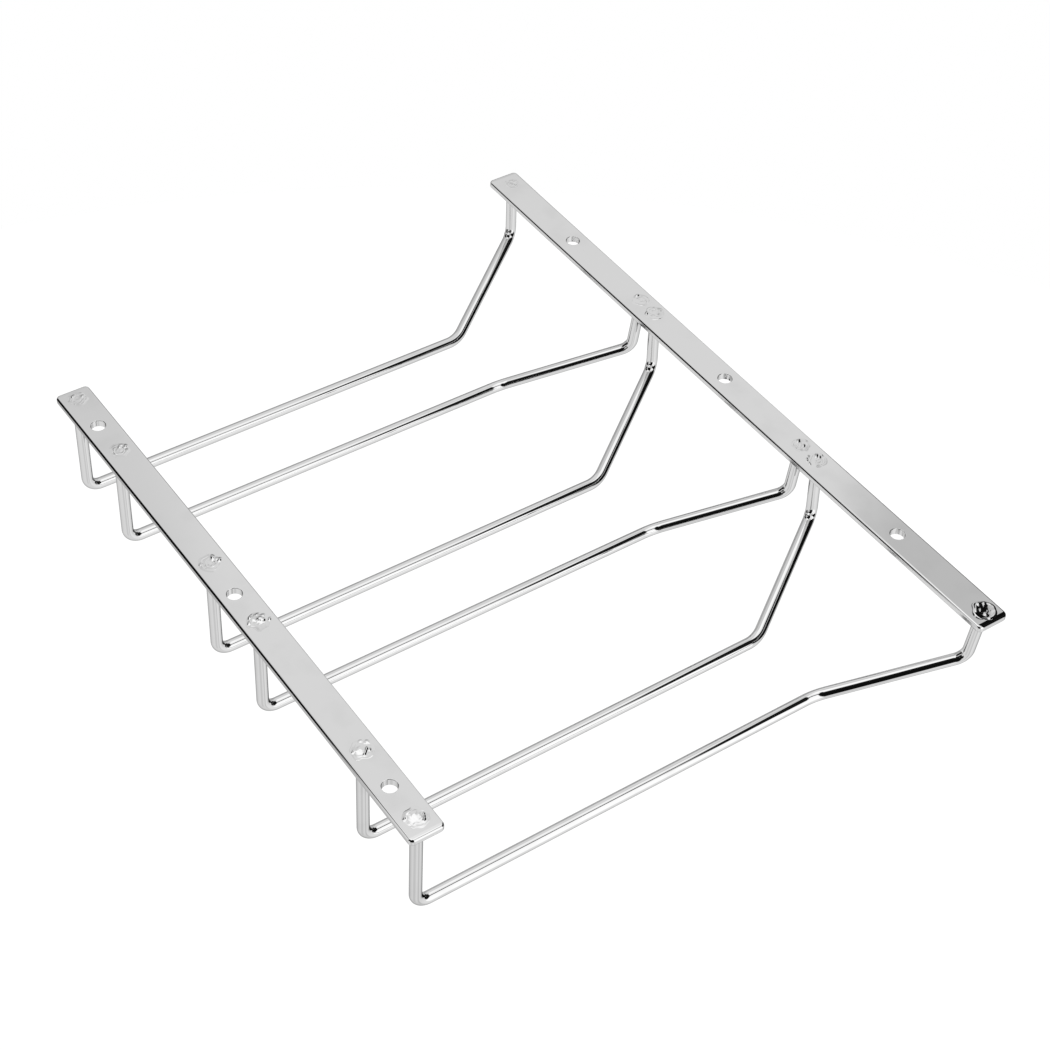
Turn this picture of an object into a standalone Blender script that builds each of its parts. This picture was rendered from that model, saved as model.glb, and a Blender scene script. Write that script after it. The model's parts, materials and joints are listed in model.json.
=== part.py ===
"""Hanging wine glass rack: two flat mounting bars that carry six bent wires.

+X runs along the bars, -Y is the side where the glasses go in, and +Z is up.
The origin is the middle of the plane of the bars' tops, where the shelf's underside lies.
Left and right are as seen from the mouths, looking along +Y. Sizes are in metres.
"""
import math

import bmesh
import bpy
from mathutils import Vector

MM = 0.001

# Channels between the wires
CHANNEL_NAMES = ("left_channel", "middle_channel", "right_channel")
CHANNEL_PITCH = 113.0 * MM
CHANNEL_WIRE_SPACING = 37.0 * MM

# Mounting bars
BAR_SPACING = 240.0 * MM
BAR_WIDTH = 15.0 * MM
BAR_THICKNESS = 3.2 * MM
BAR_CORNER_RADIUS = 2.8 * MM
BAR_EDGE_ROUNDING = 0.5 * MM
FRONT_BAR_OVERHANG = 6.9 * MM
REAR_BAR_OVERHANG = 7.5 * MM
SCREW_HOLE_DIAMETER = 6.0 * MM

# Wires: depths are from the plane of the bars' tops to the middle of the wire
WIRE_DIAMETER = 5.0 * MM
RUN_DEPTH = 50.8 * MM
REAR_BEND_RADIUS = 6.0 * MM
FLARE_BEND_RADIUS = 15.0 * MM
MOUTH_BEND_RADIUS = 7.3 * MM

# Flared mouth: the wires spread and rise to a corner, and then go up to the front bar
FLARE_LENGTH = 49.5 * MM
MOUTH_CORNER_SPACING = 97.3 * MM
MOUTH_CORNER_DEPTH = 28.3 * MM
MOUTH_CORNER_FORWARD = 0.5 * MM
MOUTH_TOP_SPACING = 102.2 * MM
MOUTH_TOP_FORWARD = 1.1 * MM

# Seats of the wire ends in the bars
WIRE_SEAT_CLEARANCE = 0.3 * MM
WIRE_END_RECESS = 0.2 * MM
CUTTER_OVERRUN = 2.0 * MM

# Mesh resolution
WIRE_BEVEL_RESOLUTION = 3
BEND_STEP_ANGLE = math.radians(15.0)
CORNER_SEGMENTS = 6
EDGE_SEGMENTS = 2
SCREW_HOLE_SIDES = 32
WIRE_SEAT_SIDES = 24

# Worked out from the driving sizes
WIRE_RADIUS = WIRE_DIAMETER / 2
FRONT_BAR_Y = -BAR_SPACING / 2
REAR_BAR_Y = BAR_SPACING / 2
SEAT_RADIUS = WIRE_RADIUS + WIRE_SEAT_CLEARANCE

CHROME_COLOR = (0.86, 0.87, 0.88, 1.0)
CHROME_ROUGHNESS = 0.08
CHROME_METALLIC = 1.0


def remove_all_objects():
    """Start from an empty scene."""
    for obj in list(bpy.data.objects):
        bpy.data.objects.remove(obj, do_unlink=True)


def new_collection(name):
    """Return a new collection that is linked to the scene."""
    collection = bpy.data.collections.new(name)
    bpy.context.scene.collection.children.link(collection)
    return collection


def chrome(name):
    """Return a new chrome plating material."""
    material = bpy.data.materials.new(name)
    material.use_nodes = True
    shader = material.node_tree.nodes["Principled BSDF"]
    shader.inputs["Base Color"].default_value = CHROME_COLOR
    shader.inputs["Roughness"].default_value = CHROME_ROUGHNESS
    shader.inputs["Metallic"].default_value = CHROME_METALLIC
    material.diffuse_color = CHROME_COLOR
    return material


def add_part(name, data, collection, location, parent):
    """Put data into the scene as a named sub-part with its own chrome material."""
    obj = bpy.data.objects.new(name, data)
    obj.location = location
    obj.parent = parent
    collection.objects.link(obj)
    data.materials.append(chrome(name + "_chrome"))
    return obj


def channel_centers():
    """Return the X of each channel's middle, from left to right."""
    middle = (len(CHANNEL_NAMES) - 1) / 2
    return [(index - middle) * CHANNEL_PITCH for index in range(len(CHANNEL_NAMES))]


def wire_corners(side):
    """Return the sharp corners of a wire's centreline, from its rear end to its front end.

    side is -1 for a channel's left wire and 1 for its right wire, and X is from the channel's middle.
    """
    run_x = side * CHANNEL_WIRE_SPACING / 2
    flare_start_y = FRONT_BAR_Y + FLARE_LENGTH
    mouth_corner = Vector((side * MOUTH_CORNER_SPACING / 2, FRONT_BAR_Y - MOUTH_CORNER_FORWARD, -MOUTH_CORNER_DEPTH))
    mouth_top = Vector((side * MOUTH_TOP_SPACING / 2, FRONT_BAR_Y - MOUTH_TOP_FORWARD, 0.0))
    return [
        Vector((run_x, REAR_BAR_Y, 0.0)),
        Vector((run_x, REAR_BAR_Y, -RUN_DEPTH)),
        Vector((run_x, flare_start_y, -RUN_DEPTH)),
        mouth_corner,
        mouth_top,
    ]


def shortened_end(end, neighbour):
    """Return the end moved down its leg, so that its tilted rim stays below the bar's top."""
    leg = (neighbour - end).normalized()
    lean = math.hypot(leg.x, leg.y)
    drop = WIRE_END_RECESS + WIRE_RADIUS * lean
    return end + leg * (drop / -leg.z)


def bend_points(before, corner, after, radius):
    """Return points along the arc that rounds a corner, tangent to both of its sides."""
    to_before = (before - corner).normalized()
    to_after = (after - corner).normalized()
    half_angle = to_before.angle(to_after) / 2
    turn = math.pi - 2 * half_angle
    bisector = (to_before + to_after).normalized()
    center = corner + bisector * (radius / math.sin(half_angle))
    start = corner + to_before * (radius / math.tan(half_angle))
    out = (start - center).normalized()
    along = -to_before
    steps = max(2, math.ceil(turn / BEND_STEP_ANGLE))
    points = []
    for step in range(steps + 1):
        angle = turn * step / steps
        points.append(center + radius * (math.cos(angle) * out + math.sin(angle) * along))
    return points


def wire_curve(side):
    """Return the curve of a channel's left or right wire, with its three bends rounded."""
    corners = wire_corners(side)
    radii = (REAR_BEND_RADIUS, FLARE_BEND_RADIUS, MOUTH_BEND_RADIUS)
    points = [shortened_end(corners[0], corners[1])]
    for index, radius in enumerate(radii, start=1):
        points.extend(bend_points(corners[index - 1], corners[index], corners[index + 1], radius))
    points.append(shortened_end(corners[-1], corners[-2]))

    curve = bpy.data.curves.new("bent_wire", "CURVE")
    curve.dimensions = "3D"
    curve.bevel_depth = WIRE_RADIUS
    curve.bevel_resolution = WIRE_BEVEL_RESOLUTION
    curve.use_fill_caps = True
    spline = curve.splines.new("POLY")
    spline.points.add(len(points) - 1)
    for spline_point, point in zip(spline.points, points):
        spline_point.co = (*point, 1.0)
    spline.use_smooth = True
    return curve


def bar_mesh(length):
    """Return a flat bar with rounded corners, its top in the plane of its origin."""
    mesh = bpy.data.meshes.new("flat_bar")
    bar = bmesh.new()
    bmesh.ops.create_cube(bar, size=1.0)
    bmesh.ops.scale(bar, vec=(length, BAR_WIDTH, BAR_THICKNESS), verts=bar.verts)
    bmesh.ops.translate(bar, vec=(0.0, 0.0, -BAR_THICKNESS / 2), verts=bar.verts)
    upright = [edge for edge in bar.edges if edge.verts[0].co.xy == edge.verts[1].co.xy]
    bmesh.ops.bevel(
        bar,
        geom=upright,
        offset=min(BAR_CORNER_RADIUS, BAR_WIDTH / 2),
        offset_type="OFFSET",
        segments=CORNER_SEGMENTS,
        profile=0.5,
        affect="EDGES",
    )
    bar.to_mesh(mesh)
    bar.free()
    return mesh


def hole_cutter(name, collection, point, direction, radius, sides):
    """Add a round cutter through a bar, along direction, with its middle at point."""
    bpy.ops.mesh.primitive_cylinder_add(
        vertices=sides,
        radius=radius,
        depth=BAR_THICKNESS + 2 * CUTTER_OVERRUN,
        location=point,
        rotation=direction.to_track_quat("Z", "Y").to_euler(),
    )
    cutter = bpy.context.object
    cutter.name = name
    cutter.hide_render = True
    cutter.display_type = "WIRE"
    for owner in list(cutter.users_collection):
        owner.objects.unlink(cutter)
    collection.objects.link(cutter)
    return cutter


def mounting_bar(name, bar_y, overhang, wire_end, rack, parts, cutters):
    """Add a mounting bar with a screw hole over each channel and a seat for each wire end.

    wire_end(side) gives the top point and the direction of the leg that ends in the bar.
    """
    outermost = max(channel_centers()) + abs(wire_end(1)[0].x)
    bar = add_part(name, bar_mesh(2 * (outermost + overhang)), parts, (0.0, bar_y, 0.0), rack)
    holes = bpy.data.collections.new(name + "_cutters")
    cutters.children.link(holes)
    for channel, center_x in zip(CHANNEL_NAMES, channel_centers()):
        screw = Vector((center_x, bar_y, -BAR_THICKNESS / 2))
        hole_cutter(f"{name}_{channel}_screw", holes, screw, Vector((0, 0, 1)), SCREW_HOLE_DIAMETER / 2, SCREW_HOLE_SIDES)
        for side_name, side in (("left", -1), ("right", 1)):
            top, leg = wire_end(side)
            middle = top + leg * (BAR_THICKNESS / 2 / -leg.z)
            seat = Vector((center_x, 0.0, 0.0)) + middle
            hole_cutter(f"{name}_{channel}_{side_name}_seat", holes, seat, leg, SEAT_RADIUS, WIRE_SEAT_SIDES)

    rounding = bar.modifiers.new("rounded_edges", "BEVEL")
    rounding.width = min(BAR_EDGE_ROUNDING, BAR_THICKNESS / 3)
    rounding.segments = EDGE_SEGMENTS
    rounding.limit_method = "ANGLE"
    rounding.angle_limit = math.radians(60.0)
    cut = bar.modifiers.new("holes", "BOOLEAN")
    cut.operation = "DIFFERENCE"
    cut.solver = "EXACT"
    cut.operand_type = "COLLECTION"
    cut.collection = holes
    return bar


def rear_wire_end(side):
    """Return the top and the direction, downwards, of a wire's rear leg."""
    corners = wire_corners(side)
    return corners[0], (corners[1] - corners[0]).normalized()


def front_wire_end(side):
    """Return the top and the direction, downwards, of a wire's front leg."""
    corners = wire_corners(side)
    return corners[-1], (corners[-2] - corners[-1]).normalized()


def add_wires(rack, parts):
    """Add the left and the right wire of each channel."""
    for channel, center_x in zip(CHANNEL_NAMES, channel_centers()):
        for side_name, side in (("left", -1), ("right", 1)):
            add_part(f"{channel}_{side_name}_wire", wire_curve(side), parts, (center_x, 0.0, 0.0), rack)


def main():
    remove_all_objects()
    parts = new_collection("hanging_wine_glass_rack")
    cutters = new_collection("cutters")
    rack = bpy.data.objects.new("rack", None)
    parts.objects.link(rack)
    mounting_bar("front_bar", FRONT_BAR_Y, FRONT_BAR_OVERHANG, front_wire_end, rack, parts, cutters)
    mounting_bar("rear_bar", REAR_BAR_Y, REAR_BAR_OVERHANG, rear_wire_end, rack, parts, cutters)
    add_wires(rack, parts)


main()
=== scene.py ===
"""Looks of a hanging wine glass rack: chromed bars, bent wires and their welds, in a plain white studio.

Everything is in metres and in the CAD model's frame: +X along the bars, -Y towards the mouths where the
glasses go in, and +Z up to the shelf. The origin is the middle of the plane of the bars' tops.
"""

import json
import math

import bpy
import numpy as np
from bpy.props import FloatProperty, FloatVectorProperty, IntProperty, PointerProperty
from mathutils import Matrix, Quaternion, Vector

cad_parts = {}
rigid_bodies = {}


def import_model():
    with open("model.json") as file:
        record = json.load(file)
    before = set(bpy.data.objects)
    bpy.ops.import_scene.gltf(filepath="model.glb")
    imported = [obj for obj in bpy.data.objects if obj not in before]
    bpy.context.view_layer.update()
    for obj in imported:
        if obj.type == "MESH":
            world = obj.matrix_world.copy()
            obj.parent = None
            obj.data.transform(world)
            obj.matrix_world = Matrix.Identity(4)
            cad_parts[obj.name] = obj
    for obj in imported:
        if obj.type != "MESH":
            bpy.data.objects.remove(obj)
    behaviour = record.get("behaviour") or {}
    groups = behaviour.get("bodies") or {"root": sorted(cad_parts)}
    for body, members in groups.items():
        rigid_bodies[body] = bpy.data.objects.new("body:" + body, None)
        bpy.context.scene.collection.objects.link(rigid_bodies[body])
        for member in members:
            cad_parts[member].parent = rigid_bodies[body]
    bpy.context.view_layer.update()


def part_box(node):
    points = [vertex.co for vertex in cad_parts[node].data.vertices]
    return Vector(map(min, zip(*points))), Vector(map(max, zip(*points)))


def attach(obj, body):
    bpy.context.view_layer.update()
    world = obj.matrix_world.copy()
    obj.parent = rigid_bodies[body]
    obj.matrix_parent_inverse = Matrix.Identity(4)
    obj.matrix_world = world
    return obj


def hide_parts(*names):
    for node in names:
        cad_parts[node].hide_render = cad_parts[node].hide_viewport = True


bl_info = {
    "name": "Hanging Wine Glass Rack",
    "version": (1, 0, 0),
    "blender": (4, 5, 0),
    "location": "View3D > Sidebar > Glass Rack",
    "description": "Builds a chromed under-shelf rack for stemmed glasses and the studio it is shown in",
    "category": "Object",
}

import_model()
MM = 0.001

BARS = ("front_bar", "rear_bar")
CHANNELS = (("left_channel", -1), ("middle_channel", 0), ("right_channel", 1))
SIDES = (("left_wire", -1), ("right_wire", 1))

# How far each wire was bent off its nominal shape, in mm: X of the run and rear leg, Y of the rear leg,
# depth of the run, Y where the flare starts, then X, Y and depth of the mouth corner, and X and Y of the
# front end.
HAND_BENDING = {
    "right_channel_right_wire": (0.88, 0.61, -0.07, 0.04, 0.77, 0.11, -0.23, 0.26, -0.01),
    "right_channel_left_wire": (0.54, 0.59, 0.09, 1.48, 0.30, 0.14, -0.04, -0.09, -0.08),
    "middle_channel_right_wire": (0.07, 0.10, 0.08, 0.37, 0.02, 0.40, 0.27, 0.12, 0.07),
    "middle_channel_left_wire": (-0.01, 0.02, -0.06, -1.72, 0.28, -0.19, -0.29, 0.33, 0.04),
    "left_channel_right_wire": (0.59, -0.08, -0.14, 0.10, 0.13, 0.22, 0.11, 0.33, 0.05),
    "left_channel_left_wire": (0.91, 0.01, -0.08, 0.07, 0.68, -0.06, -0.23, 0.91, 0.02),
}

# How deep the wrinkles are that bending left inside the rear bend, the flare bend and the mouth bend, in mm
BEND_WRINKLES = (0.02, 0.0, 0.09)

# How far the wrinkles fade from a bend's corner, how many waves they are made of, how far these turn off
# the wire's direction, and how long they are, in mm
WRINKLE_REACH = 3.4 * MM
WRINKLE_WAVES = 4
WRINKLE_TURN = 0.35
WRINKLE_LENGTHS = (1.5, 2.8)
WRINKLE_SEED_STEP = 10

# How far the wire's skin bulges inside the mouth bend of a channel's left and of its right wire, in mm, how
# far below the bend's middle the bulge lies, and how far it reaches along the wire
MOUTH_BULGE = {-1: 0.12, 1: 0.5}
BULGE_DROP = 0.5 * MM
BULGE_REACH = 0.9 * MM

# Where the mouth's corner and its top lie in front of the front bar's middle
MOUTH_CORNER_FORWARD = 0.5 * MM
MOUTH_TOP_FORWARD = 1.1 * MM

# How far a wire's ends lie below the bars' tops, and how much their edges are rounded
WIRE_END_RECESS = 0.6 * MM
WIRE_END_ROUNDING = 0.3 * MM

# How each bar was cut and bent: its shift along X and the bow of its ends along Y, in mm, and then how far
# the last stretch of its left and right end tips down, in degrees
BAR_CUT = {
    "front_bar": (1.2, -0.65, 6.0, 2.0),
    "rear_bar": (0.0, 0.35, 1.2, 1.0),
}

# How far each bar's screw holes were drilled off their nominal X and Y, in mm, from left to right
HOLE_DRIFT = {
    "front_bar": ((0.18, -0.28), (-0.14, -0.35), (0.45, -0.13)),
    "rear_bar": ((-0.52, 0.24), (-1.03, 0.60), (0.15, 0.57)),
}

# The mark that each welded wire end leaves on a bar's top: its width, its height and the height of its
# ripples in mm, the seed of their pattern, and its lumps and pits, as X, Y, reach and height in mm from the
# wire's middle
WELD_MARKS = {
    "front_bar": {
        "right_channel_right_wire": (7.6, 0.06, 0.08, 11, (
            (0.7, -2.4, 0.4, 0.2), (2.2, -3.2, 0.8, 0.32),
        )),
        "right_channel_left_wire": (8.6, 0.12, 0.095, 12, (
            (-1.8, -1.3, 0.4, 0.2), (4.0, -0.8, 0.6, 0.68),
        )),
        "middle_channel_right_wire": (9.6, 0.12, 0.095, 13, (
            (1.8, 3.4, 0.6, 0.55), (0.6, -3.1, 0.9, 0.36), (-3.0, 0.6, 0.8, 0.16), (3.2, -1.8, 0.4, 0.22),
        )),
        "middle_channel_left_wire": (8.6, 0.06, 0.06, 14, (
            (-0.8, -0.9, 0.45, 0.38), (2.7, -0.7, 0.6, 0.62), (1.2, -3.5, 0.7, 0.14), (-2.2, 2.0, 0.7, 0.1),
        )),
        "left_channel_right_wire": (9.8, 0.08, 0.055, 15, (
            (-0.4, 4.4, 0.35, 0.3), (0.6, 4.1, 0.3, 0.24), (2.0, 3.9, 0.35, 0.3), (3.2, 3.1, 0.35, 0.32),
            (3.9, 1.7, 0.35, 0.3), (2.2, -1.2, 0.6, 0.62), (0.9, -1.8, 0.5, 0.34), (1.4, -3.6, 0.7, 0.2),
            (-2.4, 2.4, 0.7, 0.16),
        )),
        "left_channel_left_wire": (10.4, 0.05, 0.05, 16, (
            (-4.6, 0.6, 1.1, 0.16), (-4.2, -1.6, 1.2, 0.22), (-3.0, -3.4, 1.2, 0.24),
            (-0.9, -4.4, 1.2, 0.24), (1.4, -4.5, 1.1, 0.2), (-2.2, 0.9, 0.7, 0.36), (1.2, 3.1, 0.6, 0.4),
            (3.2, -0.1, 0.7, 0.42), (0.4, 1.4, 0.4, 0.16), (2.4, -2.4, 0.5, 0.24),
        )),
    },
    "rear_bar": {
        "right_channel_right_wire": (9.8, 0.09, 0.085, 21, (
            (2.3, 1.0, 0.5, 0.4), (0.6, -2.4, 0.5, 0.34),
        )),
        "right_channel_left_wire": (9.4, 0.11, 0.085, 22, (
            (0.9, -3.4, 0.6, 0.62), (-1.3, -3.0, 0.4, 0.32), (2.4, -2.3, 0.8, 0.34), (1.6, -0.9, 0.5, 0.32),
            (1.8, 1.3, 0.5, 0.2),
        )),
        "middle_channel_right_wire": (10.6, 0.13, 0.085, 23, (
            (-0.5, -3.6, 0.6, 0.6), (0.6, -2.8, 0.8, 0.4), (1.9, -1.9, 0.6, 0.62), (2.9, -2.0, 0.4, 0.36),
            (1.2, 3.8, 0.9, 0.18),
        )),
        "middle_channel_left_wire": (10.2, 0.08, 0.055, 24, (
            (0.6, -1.0, 1.35, 1.0), (-0.6, -2.0, 0.5, 0.44), (2.2, 1.0, 1.3, 0.36), (3.0, -0.6, 1.0, 0.38),
            (1.7, -3.0, 0.9, 0.4), (1.0, 3.5, 0.5, 0.44), (3.3, 2.0, 0.45, 0.46), (3.9, 1.0, 0.4, 0.38),
            (3.2, -1.4, 0.45, 0.4), (-1.2, -4.2, 0.5, 0.42),
        )),
        "left_channel_right_wire": (10.4, 0.07, 0.055, 25, (
            (0.6, 1.0, 1.9, 0.52), (-2.2, 0.4, 0.4, 0.36), (-1.4, -0.6, 0.35, 0.3), (-0.4, -1.6, 0.5, 0.46),
            (-1.3, -2.4, 0.4, 0.34), (0.9, 3.4, 0.4, 0.34), (-3.9, 4.2, 0.8, 0.26), (2.4, -3.4, 0.9, 0.32),
            (4.0, -1.6, 0.8, 0.24),
        )),
        "left_channel_left_wire": (10.6, 0.06, 0.045, 26, (
            (1.4, 0.2, 2.6, 0.64), (3.6, 1.4, 1.2, 0.26), (1.4, -1.2, 0.4, -0.1), (-2.2, -1.8, 0.45, 0.42),
            (-1.0, -2.5, 0.4, 0.34), (0.1, -3.1, 0.35, 0.28), (1.8, 4.0, 0.4, 0.34), (-3.4, 4.2, 0.7, 0.26),
        )),
    },
}

# How far a weld mark leans towards -X -Y, in degrees
LEANING_MARKS = {("front_bar", "left_channel_left_wire"): 7.0}

# How a weld mark rises from its rim: the shares of the way to its middle over which its pattern and its
# mound come up, how many waves its outline has, and how high each is
MARK_RIM = 0.05
MARK_SLOPE = 0.2
MARK_WAVES = 7
MARK_WAVER = (0.01, 0.04)

# Partial rings on a weld mark: how many, where and how wide as shares of the way to its middle, how many
# times each is broken, from the first number up to but not the second, and how high against its ripples
RING_COUNT = 7
RING_PLACE = (0.06, 0.75)
RING_WIDTH = (0.030, 0.055)
RING_BREAKS = (1, 4)
RING_HEIGHT = (0.5, 1.0)

# Specks on a weld mark: how many, how far out as a share of its radius, their reach in mm, and how high
# against its ripples
SPECK_COUNT = 18
SPECK_PLACE = (0.1, 0.85)
SPECK_REACH = (0.3, 0.7)
SPECK_HEIGHT = (-1.0, 1.6)

# Lumps with less than this reach, in mm, are drawn out lengthwise by so much
SMALL_LUMP = 0.65
SMALL_LUMP_STRETCH = 1.8

# A leaning mark starts to rise this far before its middle, and gets steeper over the softness
LEAN_START = 1.5 * MM
LEAN_SOFTNESS = 0.5 * MM

# How far a weld mark's rim is sunk into the bar, and how deep its closed underside lies
MARK_SUNK = 0.012 * MM
MARK_FOOT = 0.5 * MM

# Weld beads under the bars: their size, in how many waves and how much it wavers, between which shares it
# stays, and how far a bead overlaps the wire's skin, reaches into the wire and reaches up into the bar
BEAD_SIZE = 0.7 * MM
BEAD_WAVES = 5
BEAD_WAVER = (0.05, 0.28)
BEAD_LIMITS = (0.25, 2.0)
BEAD_OVERLAP = 0.02 * MM
BEAD_INSIDE = 0.6 * MM
BEAD_FOOT = 0.4 * MM
BEAD_SEED_STEP = 50

# Points of a mesh in the same cell of this size are one. The offset keeps round sizes off the cells' edges.
MERGE_CELL = 1e-6
MERGE_OFFSET = 2.17e-7

# Where a bar's cut roughness starts to fade, as a share of the way from the middle of its side up or down
SIDE_FADE_START = 0.7

# Chrome of each kind of piece: its ripples per metre and their height in metres, its clouds per metre, how
# many times the haze they roughen it, and how much they darken it
CHROMES = {
    "bar_chrome_plate": (45.0, 6e-6, 55.0, 1.0, 0.05),
    "wire_chrome_plate": (160.0, 4e-6, 70.0, 1.0, 0.05),
    "weld_chrome_plate": (900.0, 1.6e-5, 200.0, 2.0, 0.15),
}

# Lines drawn round a wire: how many, and how much they add to the clouds
DRAWN_LINES = (46.0, 0.6)

# Light that falls on everything, and the tent's light on its walls and at its top. It starts to rise at
# this share of the tent's radius above the rack.
WORLD_LIGHT = 0.8
TENT_WALL_LIGHT = 0.92
TENT_TOP_LIGHT = 1.42
TENT_ROOF_START = 0.83

SENSOR_WIDTH = 36.0
CAMERA_CLIP = (0.05, 20.0)

# What the chrome reflects: the light tent round the rack, as zones that are laid one over the other.
# Azimuth 0 is towards -Y and 90 towards +X. All sizes are in degrees, and the last number is the zone's
# brightness. A band has azimuth, elevation, width, height, softness of its sides and softness of its top
# and bottom. A round has azimuth, elevation, radius and softness. A slot runs along Y, and has its tilt
# from straight up towards -X, its width and its softness.
TENT_ZONES = (
    ("lit_ceiling", "band", (-12, 66, 64, 22, 22, 12), 1.30),
    ("rear_ceiling", "band", (180, 68, 120, 18, 20, 6), 1.42),
    ("right_ceiling", "band", (98, 56, 46, 34, 22, 16), 0.84),
    ("right_wall", "band", (95, 3, 96, 54, 26, 24), 0.59),
    ("rear_opening", "band", (-143, 29, 84, 52, 8, 6), 0.006),
    ("low_rear_opening", "band", (-128, -6, 52, 32, 8, 6), 0.006),
    ("rear_right_opening", "band", (138, 6, 44, 82, 6, 5), 0.006),
    ("top_of_rear_opening", "band", (-127, 60, 28, 20, 6, 5), 0.006),
    ("front_opening", "round", (-19.5, 16, 40, 3), 0.006),
    ("front_ceiling", "band", (45, 44, 71, 44, 7, 10), 0.96),
    ("ceiling_corner", "band", (17, 44, 15, 38, 8, 8), 0.70),
    ("side_light", "band", (-79, -3, 43, 58, 2.5, 5), 1.45),
    ("upper_side_light", "band", (-82, 34, 38, 26, 3, 8), 1.40),
    ("seam_between_lights", "slot", (38.3, 10.0, 2.0), 0.02),
    ("floor_cloth", "band", (0, -61, 360, 77, 10, 11), 0.97),
    ("lit_floor", "band", (-64, -42, 46, 34, 14, 14), 1.08),
    ("shaded_floor", "band", (-140, -46, 26, 24, 14, 10), 0.80),
    ("dim_floor", "band", (-93, -46, 18, 24, 12, 10), 0.78),
)


def length_setting(name, description, default, **limits):
    """A length in metres."""
    return FloatProperty(
        name=name, description=description, default=default, unit="LENGTH", precision=4, **limits
    )


def share_setting(name, description, default):
    """A number from 0 to 1."""
    return FloatProperty(
        name=name, description=description, default=default, min=0.0, max=1.0, subtype="FACTOR"
    )


def angle_setting(name, description, degrees):
    """An angle, whose default is given in degrees."""
    return FloatProperty(name=name, description=description, default=math.radians(degrees), subtype="ANGLE")


def grey_setting(name, description, level):
    """A colour, whose default is a grey of that level."""
    grey = (level, level, level, 1.0)
    return FloatVectorProperty(
        name=name, description=description, default=grey, size=4, subtype="COLOR", min=0.0, max=1.0
    )


class RackSizes(bpy.types.PropertyGroup):
    """Sizes of the rack's pieces."""

    wire_diameter: length_setting("Wire Diameter", "Thickness of the bent wire", 5.0 * MM, min=MM)
    wire_spacing: length_setting(
        "Wire Spacing", "From the middle of one wire of a channel to the other", 37.0 * MM
    )
    channel_pitch: length_setting("Channel Pitch", "From the middle of one channel to the next", 113.0 * MM)
    run_depth: length_setting(
        "Run Depth", "From the bars' tops down to the middle of the level wire", 50.8 * MM
    )
    rear_bend_radius: length_setting("Rear Bend Radius", "Centreline radius under the rear bar", 6.0 * MM)
    flare_bend_radius: length_setting(
        "Flare Bend Radius", "Centreline radius where a wire starts to spread", 15.0 * MM
    )
    mouth_bend_radius: length_setting("Mouth Bend Radius", "Centreline radius at the mouth corner", 7.3 * MM)
    flare_length: length_setting(
        "Flare Length", "From the front bar's middle back to where the wires start to spread", 49.5 * MM
    )
    mouth_spacing: length_setting("Mouth Spacing", "Between the two wires at the mouth corner", 97.3 * MM)
    mouth_depth: length_setting("Mouth Depth", "From the bars' tops down to the mouth corner", 28.3 * MM)
    mouth_top_spacing: length_setting(
        "Mouth Top Spacing", "Between the two wires where they meet the front bar", 102.2 * MM
    )
    bar_corner_radius: length_setting("Bar Corner Radius", "Radius of a bar's corners", 2.1 * MM)
    bar_edge_rounding: length_setting("Bar Edge Rounding", "Radius of a bar's long edges", 1.0 * MM)
    screw_hole_diameter: length_setting(
        "Screw Hole Diameter", "Width of the holes for the mounting screws", 6.25 * MM
    )
    sides: IntProperty(name="Wire Sides", description="Facets round a wire", default=48, min=12, max=96)


class RackFinish(bpy.types.PropertyGroup):
    """Chrome plate of the rack."""

    chrome_color: grey_setting("Chrome Colour", "What the plating reflects straight on", 0.695)
    polish: share_setting("Roughness", "Roughness of the clean plating", 0.02)
    haze: share_setting("Haze", "Roughness added by faint clouding", 0.03)
    cut_side_roughness: share_setting("Cut Side Roughness", "Roughness added to a bar's sides", 0.11)
    edge_tint: share_setting("Edge Tint", "Brightness of the reflection at a grazing angle", 0.42)


class RackStudio(bpy.types.PropertyGroup):
    """Floor, surroundings and camera."""

    floor_color: grey_setting("Floor Colour", "Colour of the studio floor", 0.8)
    floor_drop: length_setting("Floor Drop", "From the bars' tops down to the floor", 0.80)
    floor_radius: length_setting("Floor Radius", "Radius of the round floor", 1.3)
    floor_glow: FloatProperty(
        name="Floor Glow",
        description="Brings the lit floor up to white for camera and glossy rays",
        default=0.42,
        min=0.0,
    )
    tent_radius: length_setting("Tent Radius", "Size of the light tent", 0.65)
    camera_azimuth: angle_setting(
        "Camera Azimuth", "Side the camera stands on, 0 towards -Y and 90 towards +X", -126.7976
    )
    camera_elevation: angle_setting(
        "Camera Elevation", "Angle of the view down from the horizon", 44.2623
    )
    camera_roll: angle_setting("Camera Roll", "Tilt of the camera about its view", 3.3856)
    camera_distance: length_setting("Camera Distance", "From the camera to its aim", 0.951263)
    camera_aim: FloatVectorProperty(
        name="Camera Aim",
        description="Point in the middle of the picture",
        default=(-0.008486, -0.011399, -0.025),
        size=3,
        subtype="TRANSLATION",
    )
    camera_lens: FloatProperty(
        name="Camera Lens", description="Focal length in mm on a 36 mm sensor", default=78.467, min=1.0
    )


# Shapes


def unit(vector):
    """The vector divided by its length."""
    return vector / np.linalg.norm(vector)


def swept(reach, height, out):
    """A profile carried along level directions: (reach * out, height), the profile on the second index."""
    flat = reach[..., None] * out[:, None]
    return np.dstack([flat, np.broadcast_to(height, flat.shape[:2])])


def even_uv(points):
    """UV of a grid of points: the share of the way along its second index, and that along its first."""
    rows, columns = points.shape[:2]
    u, v = np.meshgrid(np.linspace(0.0, 1.0, columns), np.linspace(0.0, 1.0, rows))
    return np.dstack([u, v])


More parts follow.
